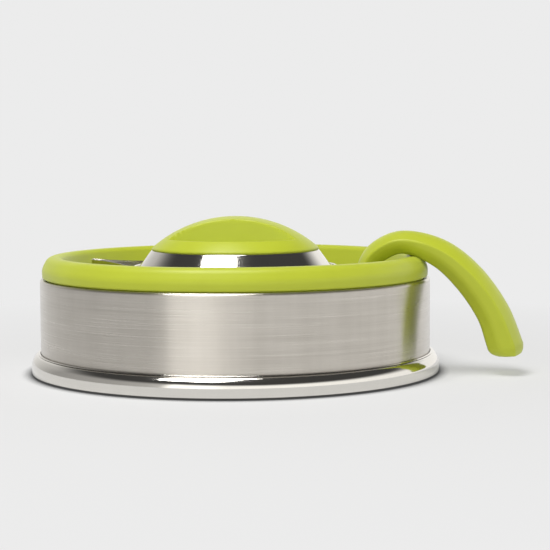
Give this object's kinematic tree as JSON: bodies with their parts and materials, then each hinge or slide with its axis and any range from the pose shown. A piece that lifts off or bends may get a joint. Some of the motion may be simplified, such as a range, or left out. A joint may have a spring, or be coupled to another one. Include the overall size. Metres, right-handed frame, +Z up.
{
  "type": "collapsible stovetop kettle",
  "caption": "Low stovetop kettle that folds: steel pot with a wide capped base, silicone folds, steel collar with an open spout, fixed side handle and lift-off lid with a pinch knob.",
  "frame": {"origin": "centre of the underside of the capped base, on the surface that the kettle stands on", "axes": "+Z up along the kettle's axis, +X towards the handle, spout towards -X"},
  "size_m": [0.2174, 0.1806, 0.0683],
  "materials": {
    "brushed_pot_steel": "satin, finely brushed round the wall",
    "polished_steel": "polished stainless steel",
    "fitting_steel": "plain stainless steel",
    "spreader_aluminium": "mill",
    "lime_silicone": "soft satin silicone",
    "lime_grip": "satin soft-touch",
    "lime_plastic": "satin moulded",
    "seal_silicone": "soft satin silicone",
    "insert_brass": "turned"
  },
  "bodies": {
    "base": {"base_shell": "brushed_pot_steel", "base_cap": "polished_steel", "heat_spreader": "spreader_aluminium", "rim_clamp_ring": "fitting_steel", "bellows_outer_ring": "lime_silicone", "bellows_outer_fold": "lime_silicone"},
    "mid_ring": {"bellows_mid_ring": "lime_silicone", "bellows_inner_fold": "lime_silicone"},
    "collar": {"bellows_top_cuff": "lime_silicone", "collar": "polished_steel", "collar_clamp_ring": "fitting_steel", "spout": "polished_steel", "handle_bracket": "fitting_steel", "bracket_rivets": "fitting_steel", "handle": "lime_grip", "handle_screws": "fitting_steel"},
    "lid": {"lid_shell": "polished_steel", "lid_plug_ring": "fitting_steel", "lid_seal": "seal_silicone", "lid_knob": "lime_plastic", "knob_insert": "insert_brass", "knob_washer": "fitting_steel", "knob_screw": "fitting_steel"}
  },
  "joints": [
    {"name": "outer_fold_extend", "type": "slide", "parent": "base", "child": "mid_ring", "axis": [0, 0, 1], "range_m": [0, 0.054], "deforming": ["bellows_outer_fold"]},
    {"name": "inner_fold_extend", "type": "slide", "parent": "mid_ring", "child": "collar", "axis": [0, 0, 1], "range_m": [0, 0.016], "deforming": ["bellows_inner_fold"]},
    {"name": "lid_lift", "type": "slide", "parent": "collar", "child": "lid", "axis": [0, 0, 1], "range_m": [0, 0.08]}
  ]
}
